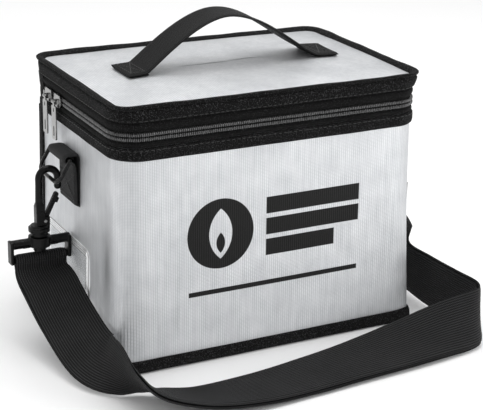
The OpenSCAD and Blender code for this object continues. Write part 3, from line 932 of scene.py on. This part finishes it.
def make_corner_tapes():
    """Narrow folded tapes over the upright seams at the back corners."""
    lo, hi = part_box("corner_bindings")
    z0, z1 = lo[2] - 0.4 * MM, hi[2] + 0.4 * MM
    rows = 40
    pieces = []
    for side in (-1, 1):
        centre = Vector((side * (HALF_W - CORNER_R), HALF_D - CORNER_R, 0))
        arc = [math.radians(6 + 78 * k / 12) for k in range(13)]
        frames = []
        for r in range(rows + 1):
            z = z0 + (z1 - z0) * r / rows
            frames.append((centre + UP * z, Vector((side, 0, 0)), Vector((0, 1, 0))))

        def profile(i, side=side):
            z = z0 + (z1 - z0) * i / rows
            sway = 0.02 * soft_noise(side, z, 5, 30 * MM)
            outline = []
            for k, a in enumerate(arc):
                t = -1 + 2 * k / (len(arc) - 1)
                out = Vector((math.cos(a), math.sin(a), 0))
                r = CORNER_R - SKIN_IN + 1.2 * MM + 1.0 * MM * (1 - abs(t) ** 4) ** 0.5
                r += 2.6 * MM * math.exp(-(t / 0.28) ** 2) + flare(out, z)
                outline.append((r * math.cos(a + sway), r * math.sin(a + sway)))
            for a in arc[::-1]:
                r = CORNER_R - SKIN_IN - 0.9 * MM + flare(Vector((1, 0, 0)), z)
                outline.append((r * math.cos(a + sway), r * math.sin(a + sway)))
            return outline

        pieces.append(sweep("corner_tape_part", frames, profile, TAPE))
    piece = join("corner_tapes", pieces)
    put(piece, "root", "webbing_tape", "corner_bindings")


# ---------------------------------------------------------------- lid

def lid_height(x, y):
    """Height of the crowned roof of the lid, with the soft ripples of the cloth."""
    ax, ay = HALF_W - LID_IN, HALF_D - LID_IN
    fx, fy = max(0.0, 1 - (x / ax) ** 2), max(0.0, 1 - (y / ay) ** 2)
    crown = CROWN_RISE * min(1.0, (fx * fy) ** 0.55 * 1.12)
    ripple = 0.32 * MM * soft_noise(x, y, 0, 30 * MM) + 0.14 * MM * soft_noise(x, y, 7, 12 * MM)
    edge = min(1.0, 6 * min(fx, fy))
    return LID_EDGE_Z - 0.5 * MM + crown + ripple * edge


def make_lid_skin():
    """The silver cloth over the lid, in rings that close on a line along its middle."""
    path = plan_path(PANEL_IN, 3.0 * MM, radius=PANEL_RADIUS)
    count, rings, thick = len(path), 26, 1.0 * MM
    spine = HALF_W - HALF_D
    flat, verts, faces = [], [], []
    for r in range(rings + 1):
        t = r / rings
        for p, out in path:
            heart = Vector((min(max(p.x, -spine), spine), 0, 0))
            flat.append(p.lerp(heart, t * 0.985))
    for layer in (0, 1):
        for q in flat:
            verts.append(Vector((q.x, q.y, lid_height(q.x, q.y) - layer * thick)))
    half = len(flat)
    faces += [cell[0] for cell in two_layer_cells(rings, count, True)]
    for layer in (0, 1):
        middle = tuple(layer * half + rings * count + i for i in range(count))
        faces.append(middle[::-1] if layer else middle)
    for i in range(count):
        j = (i + 1) % count
        faces.append((j, i, half + i, half + j))
    uvs = [tuple((verts[k].x, verts[k].y) for k in face) for face in faces]
    skin = fix_normals(add_object("lid_skin", verts, faces, uvs, [SILVER]))
    put(skin, "lid", "silver_fabric", "lid_panel")


# ---------------------------------------------------------------- webbing

def catmull(points, steps):
    """A smooth curve through the points, with this many steps between two of them."""
    p = [2 * points[0] - points[1]] + list(points) + [2 * points[-1] - points[-2]]
    curve = []
    for i in range(1, len(p) - 2):
        a, b, c, d = p[i - 1:i + 3]
        for k in range(steps):
            t = k / steps
            curve.append(0.5 * (2 * b + (c - a) * t + (2 * a - 5 * b + 4 * c - d) * t * t
                                + (3 * b - a - 3 * c + d) * t ** 3))
    curve.append(p[-2].copy())
    return curve


def web_outline(width, thick, cup=0.0, cells=12):
    """Section of a flat strap with rounded selvedges: (across, out)."""
    half_w, half_t = width / 2, thick / 2
    top, bottom = [], []
    for k in range(cells + 1):
        t = -1 + 2 * k / cells
        rise = cup * (1 - t * t)
        edge = max(0.25, min(1.0, (1 - abs(t)) * 9 + 0.25))
        top.append((t * half_w, rise + half_t * edge))
        bottom.append((t * half_w, rise - half_t * edge))
    return top + bottom[::-1]


def width_frames(middles, ways):
    """(middle, width way, thickness way) along a strap, its width made square to its run."""
    frames = []
    for i, m in enumerate(middles):
        run = (middles[min(i + 1, len(middles) - 1)] - middles[max(i - 1, 0)]).normalized()
        w = (ways[i] - run * ways[i].dot(run)).normalized()
        frames.append((m, w, run.cross(w)))
    return frames


def band_along(name, middles, ways, width, thick, material, cup=0.0):
    """A strap that follows the middles, with its width pointing along the ways."""
    outline = web_outline(width, thick, cup)
    return sweep(name, width_frames(middles, ways), outline, material)


# The shoulder strap's middle line, in millimetres, from the left hook round the front to the
# right hook, and the way its width points at each of these places
STRAP_ROUTE = [Vector(p) * MM for p in (
    (-129.5, 3.2, 49), (-129.4, -1, 45), (-128, -9.5, 40.2), (-126.6, -34, 28.5),
    (-124, -68, 17.2), (-119.7, -96, 19.2), (-111, -112.7, 15.3), (-100, -123, 9.8),
    (-76, -131.5, 6), (-42, -132.5, 4.4), (-8, -130.5, 4.8), (26, -128, 6.5), (61, -126.5, 9.8),
    (94, -125.5, 14), (121, -126, 18.6), (130.5, -114, 19.8), (129.5, -90, 20), (128, -62, 20.2),
    (126.5, -36, 22.5), (127.5, -17, 30), (129, -4, 41), (129.5, 3.2, 49))]
STRAP_WAYS = [Vector(w).normalized() for w in (
    (1, 0, 0), (0.99, -0.08, 0.06), (0.94, -0.2, 0.2), (0.9, -0.14, 0.41), (0.82, -0.2, 0.57),
    (0.12, -0.03, 0.99), (-0.4, -0.54, 0.74), (-0.4, -0.85, 0.33), (-0.15, -0.98, 0.12),
    (-0.2, -0.97, -0.03), (-0.1, -0.96, -0.12), (0.06, -0.98, -0.2), (0.06, -0.92, -0.38),
    (0.06, -0.77, -0.63), (0.03, -0.32, -0.95), (0, 0, -1), (0, 0, -1), (0, 0, -1),
    (0.06, 0, -1), (-0.45, 0, -0.89), (-0.91, 0, -0.41), (-1, 0, 0))]
STRAP_STEPS = 8                 # steps between two places
STRAP_CUT = 10                  # the place where the two halves meet
LAYER_GAP = 1.9 * MM            # between the middles of the strap's two layers
LAYER_DRIFT = 0.9 * MM          # how far the layers slip apart across the width
WRAP_FROM, WRAP_ANGLE, WRAP_STEPS = 215, 300, 18


def wrap(side):
    """Middles that carry one layer of the strap round the lower bar of its frame and back."""
    lo, hi = (Vector(c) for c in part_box("strap_end_" + ("left" if side < 0 else "right")))
    centre = Vector((side * SHANK_X, (lo.y + hi.y) / 2, (lo.z + hi.z) / 2))
    radius = (hi.z - lo.z) / 2 - STRAP_LAYER / 2 - 0.05 * MM
    points = []
    for k in range(WRAP_STEPS + 1):
        a = math.radians(WRAP_FROM - WRAP_ANGLE * k / WRAP_STEPS)
        points.append(centre + Vector((0, radius * math.cos(a), radius * math.sin(a))))
    return points


def make_strap():
    """The strap in two halves that meet in the middle of the front. Each half is one web that runs
    round its frame's bar and comes back."""
    frames = width_frames(catmull(STRAP_ROUTE, STRAP_STEPS),
                          catmull(STRAP_WAYS, STRAP_STEPS))
    cut = STRAP_CUT * STRAP_STEPS
    for side, name, a, b in ((-1, "left", 0, cut + 1), (1, "right", cut, len(frames))):
        half = frames[a:b] if side < 0 else frames[a:b][::-1]
        middles, ways = [], []
        for i, (m, w, n) in list(enumerate(half))[::-1]:
            drift = layer_drift(i)
            middles.append(m + n * LAYER_GAP / 2 + w * drift)
            ways.append(w)
        turn = wrap(side)
        middles += turn
        ways += [half[0][1]] * len(turn)
        for i, (m, w, n) in enumerate(half):
            drift = layer_drift(i)
            middles.append(m - n * LAYER_GAP / 2 - w * drift)
            ways.append(w)
        piece = band_along("strap_" + name, middles, ways, STRAP_LAYER_W, STRAP_LAYER, WEBBING)
        for vertex in piece.data.vertices:
            vertex.co.z = max(vertex.co.z, 0.05 * MM)
        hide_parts(*(["shoulder_strap"] if side < 0 else []), "strap_end_" + name)
        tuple(half[4 * STRAP_STEPS][0])
        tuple(half[0][0])
        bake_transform(piece)


def layer_drift(i):
    """The slip between the layers at a step counted from the frame, growing away from it."""
    return LAYER_DRIFT * min(1.0, i / (2.0 * STRAP_STEPS)) * (0.8 + 0.2 * math.sin(i / 7.0))


BEND_LEFT, BEND_RIGHT, CREST_X = -62 * MM, 61 * MM, -4 * MM
UNDER_T, UNDER_LEN = 1.1 * MM, 28 * MM
HANDLE_LIFT = 1.9 * MM


def make_handle():
    """Handle webbing: flat sewn ends with the cut edge turned under, and a free arch."""
    lo, hi = (Vector(c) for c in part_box("handle"))
    top = hi.z - 1.2 * MM

    def on_lid(x, lift):
        return Vector((x, 0, lid_height(x, 0) + lift))

    rest = HANDLE_LIFT
    left_end, right_end = lo.x + 0.5 * MM, hi.x - 0.5 * MM
    points = [on_lid(left_end, rest), on_lid(left_end + 8 * MM, rest),
              on_lid(BEND_LEFT, rest + 0.3 * MM)]
    foot = points[-1].z
    for start, c1, c2, stop, count in (
            ((BEND_LEFT, foot), (-54 * MM, foot + 5 * MM), (-27 * MM, top), (CREST_X, top), 12),
            ((CREST_X, top), (20 * MM, top), (45 * MM, foot + 6 * MM),
             (BEND_RIGHT, on_lid(BEND_RIGHT, rest).z + 0.3 * MM), 14)):
        for k in range(1, count + 1):
            t = k / count
            w = ((1 - t) ** 3, 3 * t * (1 - t) ** 2, 3 * t * t * (1 - t), t ** 3)
            x = sum(a * b[0] for a, b in zip(w, (start, c1, c2, stop)))
            z = sum(a * b[1] for a, b in zip(w, (start, c1, c2, stop)))
            points.append(Vector((x, 0, z)))
    points += [on_lid(right_end - 8 * MM, rest), on_lid(right_end, rest)]
    middles = catmull(points, 3)
    for m in middles:
        m.y = 0.5 * MM * soft_noise(m.x, 3, 0, 40 * MM)
    ways = [Vector((0, -1, 0.05 * soft_noise(m.x, 9, 0, 45 * MM))) for m in middles]
    piece = band_along("handle_web", middles, ways, HANDLE_W, WEB_T, HANDLE_WEBBING, 0.35 * MM)
    put(piece, "lid", "webbing", "handle")
    under = []
    for a, b in ((left_end + 1 * MM, BEND_LEFT + 1 * MM), (BEND_RIGHT, right_end - 1 * MM)):
        run = [on_lid(a + (b - a) * k / 8, 0.75 * MM) for k in range(9)]
        under.append(band_along("under_part", run, [Vector((0, -1, 0))] * 9, HANDLE_W - 0.6 * MM,
                                UNDER_T, HANDLE_WEBBING))
    piece = join("handle_underlayers", under)
    put(piece, "lid", "webbing", "handle_patches")
    make_handle_stitches(left_end, right_end)


def make_handle_stitches(left_end, right_end):
    """A stitched box with a cross on each end of the handle."""
    places = []
    lift = HANDLE_LIFT + WEB_T / 2 + 0.1 * MM
    for a, b in ((left_end + 2 * MM, -63 * MM), (63 * MM, right_end - 2 * MM)):
        y = HANDLE_W / 2 - 2.6 * MM
        box = [(a, -y), (b, -y), (b, y), (a, y), (a, -y), (b, y)]
        for line in (box, [(a, y), (b, -y)]):
            points = []
            for p, q in zip(line, line[1:]):
                for k in range(7):
                    x, yy = p[0] + (q[0] - p[0]) * k / 7, p[1] + (q[1] - p[1]) * k / 7
                    points.append(Vector((x, yy, lid_height(x, 0) + lift)))
            points.append(Vector((line[-1][0], line[-1][1], lid_height(line[-1][0], 0) + lift)))
            places += stitch_places(points, [UP] * len(points), 3.0 * MM)
    put(stitches("handle_stitches", places, 0.05 * MM, 2.2 * MM), "lid", "webbing")


def make_ring_tabs():
    """Webbing tabs: sewn to the wall, out round the ring's bar and back on themselves."""
    for side, tag in ((-1, "left"), (1, "right")):
        lo, hi = (Vector(c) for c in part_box("ring_tab_" + tag))
        wall = HALF_W - SKIN_IN
        bar_x, bar_z = wall + 8.2 * MM, 123.2 * MM
        r = WIRE_R + WEB_T / 2 + 0.15 * MM
        route = [(wall + 1.0 * MM, lo.z), (wall + 1.0 * MM, lo.z + 12 * MM),
                 (wall + 1.1 * MM, bar_z - 8 * MM), (wall + 1.2 * MM, bar_z + 0.6 * MM),
                 (wall + 2.6 * MM, bar_z + r - 0.1 * MM), (bar_x - 2.4 * MM, bar_z + r)]
        for k in range(9):
            a = math.radians(90 - 222 * k / 8)
            route.append((bar_x + r * math.cos(a), bar_z + r * math.sin(a)))
        route += [(wall + 4.4 * MM, bar_z - 2.9 * MM), (wall + 3.2 * MM, bar_z - 7 * MM),
                  (wall + 2.9 * MM, bar_z - 14 * MM), (wall + 2.8 * MM, lo.z + 1 * MM)]
        middles = catmull([Vector((side * x, TAB_Y, z)) for x, z in route], 4)
        width = hi.y - lo.y
        ways = [Vector((0, side, 0))] * len(middles)
        piece = band_along("tab_web_" + tag, middles, ways, width, WEB_T, WEBBING)
        put(piece, "root", "webbing", "ring_tab_" + tag)
        out = Vector((side, 0, 0))
        x = side * (wall + 2.8 * MM + WEB_T / 2 + 0.1 * MM)
        y, z0, z1 = width / 2 - 2.5 * MM, lo.z + 3.5 * MM, bar_z - 11 * MM
        box = [(-y, z0), (y, z0), (y, z1), (-y, z1), (-y, z0), (y, z1)]
        places = []
        for line in (box, [(-y, z1), (y, z0)]):
            points = [Vector((x, TAB_Y + a, b)) for a, b in line]
            places += stitch_places(points, [out] * len(points), 3.0 * MM)
        put(stitches("tab_stitches_" + tag, places, 0.05 * MM, 2.2 * MM), "root", "webbing")


# ---------------------------------------------------------------- pocket

def follow_wall(obj):
    """Leans a piece on the left wall outward with the wall."""
    for vertex in obj.data.vertices:
        vertex.co.x -= flare(Vector((-1, 0, 0)), vertex.co.z)
    return obj


def rounded_rectangle(half_u, half_v, r, arc=8):
    """Closed outline, anticlockwise: (u, v, outward_u, outward_v)."""
    points = []
    for cx, cy, start in ((1, 1, 0), (-1, 1, 90), (-1, -1, 180), (1, -1, 270)):
        for k in range(arc + 1):
            a = math.radians(start + 90 * k / arc)
            points.append((cx * (half_u - r) + r * math.cos(a),
                           cy * (half_v - r) + r * math.sin(a), math.cos(a), math.sin(a)))
    return points


def make_pocket():
    """Clear label pocket on the left wall: a raised welded edge round a thin film."""
    lo, hi = (Vector(c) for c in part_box("pocket_border"))
    centre = (lo + hi) / 2
    out = Vector((-1, 0, 0))
    face_x = -(HALF_W - SKIN_IN)
    edge = 6 * MM
    half_y, half_z = (hi.y - lo.y) / 2 - edge / 2, (hi.z - lo.z) / 2 - edge / 2
    frames = []
    for y, z, oy, oz in rounded_rectangle(half_y, half_z, 3.02 * MM, 3):
        frames.append((Vector((face_x, centre.y + y, centre.z + z)), Vector((0, oy, oz)), out))
    steps = 18
    outline = []
    for k in range(steps + 1):
        t = -1 + 2 * k / steps
        rib = 0.55 * MM * abs(math.cos(t * math.pi * 1.5))
        outline.append((t * edge / 2, 0.55 * MM * (1 - t ** 6) ** 0.5 + 0.45 * MM + rib))
    outline += [(edge / 2, -0.4 * MM), (-edge / 2, -0.4 * MM)]
    piece = follow_wall(sweep("pocket_edge", frames, outline, FILM_EDGE, closed=True))
    put(piece, "root", "pocket_edge", "pocket_border")
    points = [f[0] + out * 1.45 * MM for f in frames]
    points.append(points[0])
    places = stitch_places(points, [out] * len(points), 3.2 * MM)
    seam = stitches("pocket_seam", places, 0.04 * MM, 2.2 * MM, 0.18 * MM)
    put(follow_wall(seam), "root", "pocket_edge")
    columns, rows = 24, 16
    wide, tall = half_y - edge / 2 + 1.2 * MM, half_z - edge / 2 + 1.2 * MM
    verts, faces = [], []
    for layer in (0, 1):
        for r in range(rows + 1):
            for c in range(columns + 1):
                u, v = -1 + 2 * c / columns, -1 + 2 * r / rows
                swell = (1 - u ** 4) * (1 - v ** 4)
                x = 0.9 * MM + swell * (0.7 * MM + 0.3 * MM * soft_noise(u, v, 4, 0.5))
                verts.append(Vector((face_x, centre.y + u * wide, centre.z + v * tall))
                             + out * (x - layer * 0.25 * MM))
    half = (rows + 1) * (columns + 1)
    faces += [cell[0] for cell in two_layer_cells(rows, columns, False)]
    rim = (list(range(columns))
           + [columns + r * (columns + 1) for r in range(rows)]
           + [rows * (columns + 1) + columns - c for c in range(columns)]
           + [(rows - r) * (columns + 1) for r in range(rows)])
    for k, a in enumerate(rim):
        b = rim[(k + 1) % len(rim)]
        faces.append((b, a, half + a, half + b))
    film = follow_wall(fix_normals(add_object("pocket_film", verts, faces, None, [FILM])))
    put(film, "root", "clear_film", "pocket_window")


# ---------------------------------------------------------------- hardware

def softened(node, name, material, voxel, rounds):
    """A copy of a CAD node with the rounded edges of a moulding."""
    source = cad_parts[node]
    obj = bpy.data.objects.new(name, source.data.copy())
    bpy.context.scene.collection.objects.link(obj)
    obj.data.materials.clear()
    obj.data.materials.append(material)
    remesh = obj.modifiers.new("remesh", "REMESH")
    remesh.mode = "VOXEL"
    remesh.voxel_size = voxel
    remesh.use_smooth_shade = True
    relax = obj.modifiers.new("relax", "SMOOTH")
    relax.factor = 0.5
    relax.iterations = rounds
    apply_modifiers(obj)
    obj.data.polygons.foreach_set("use_smooth", [True] * len(obj.data.polygons))
    return obj


LOOP_X, LOOP_Z, LOOP_MID_R = 122.7 * MM, 108.1 * MM, 6.3 * MM
SPINE_X, NOSE_X, NOSE_END_Z, TUBE_FROM_Z = 129.0 * MM, 116.4 * MM, 102.4 * MM, 90.0 * MM


def round_spine(obj, side):
    """Turns the square arm of a snap hook above its gate pin into a tapered round one."""
    for vertex in obj.data.vertices:
        x, z = vertex.co.x * side, vertex.co.z
        if z < TUBE_FROM_Z:
            continue
        if z >= LOOP_Z:
            away = Vector((x - LOOP_X, 0, z - LOOP_Z)).normalized() * LOOP_MID_R
            core = Vector((LOOP_X, TAB_Y, LOOP_Z)) + away
        elif x > LOOP_X:
            core = Vector((SPINE_X, TAB_Y, z))
        else:
            core = Vector((NOSE_X, TAB_Y, max(z, NOSE_END_Z)))
        radius = 2.3 * MM + 0.35 * MM * max(0.0, 1 - (z - TUBE_FROM_Z) / (14 * MM))
        core.x *= side
        target = core + (vertex.co - core).normalized() * radius
        share = min(1.0, (z - TUBE_FROM_Z) / (3 * MM))
        vertex.co = vertex.co.lerp(target, share)
    return obj


def make_hardware():
    """Rounded mouldings and castings in place of the plain CAD ones."""
    for side, tag in ((-1, "left"), (1, "right")):
        for part, name, body, voxel, rounds in (
                ("hook_", "hook_moulding_", "hook_", 0.34 * MM, 4),
                ("gate_", "gate_moulding_", "gate_", 0.24 * MM, 3),
                ("strap_base_", "base_moulding_", "clip_", 0.34 * MM, 4)):
            piece = softened(part + tag, name + tag, PLASTIC, voxel, rounds)
            if part == "hook_":
                round_spine(piece, side)
            put(piece, body + tag, "black_plastic", part + tag)
    for tag in ("front", "rear"):
        for part, name, voxel in (("slider_", "slider_casting_", 0.2 * MM),
                                  ("pull_", "pull_casting_", 0.18 * MM)):
            piece = softened(part + tag, name + tag, NICKEL, voxel, 2)
            put(piece, part + tag, "bright_metal", part + tag)


def paint_frame_nodes():
    """Better materials on the CAD nodes that stay in view."""
    looks = {"base_panel": SILVER, "base_board": BOARD, "body_foam": FELT, "lid_foam": FELT,
             "body_lining": LINING, "lid_lining": LINING, "zip_stops": NICKEL,
             "ring_left": ENAMEL, "ring_right": ENAMEL, "gate_pin_left": NICKEL,
             "gate_pin_right": NICKEL}
    for node, material in looks.items():
        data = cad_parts[node]
        if not data.material_slots:
            data.data.materials.append(material)
        for material_slot in data.material_slots:
            material_slot.material = material


# ---------------------------------------------------------------- build

make_camera()
make_studio()
make_body_skin()
make_lid_skin()
make_bands()
make_zip()
make_hinge_tape()
make_corner_tapes()
make_handle()
make_ring_tabs()
make_strap()
make_pocket()
make_hardware()
paint_frame_nodes()
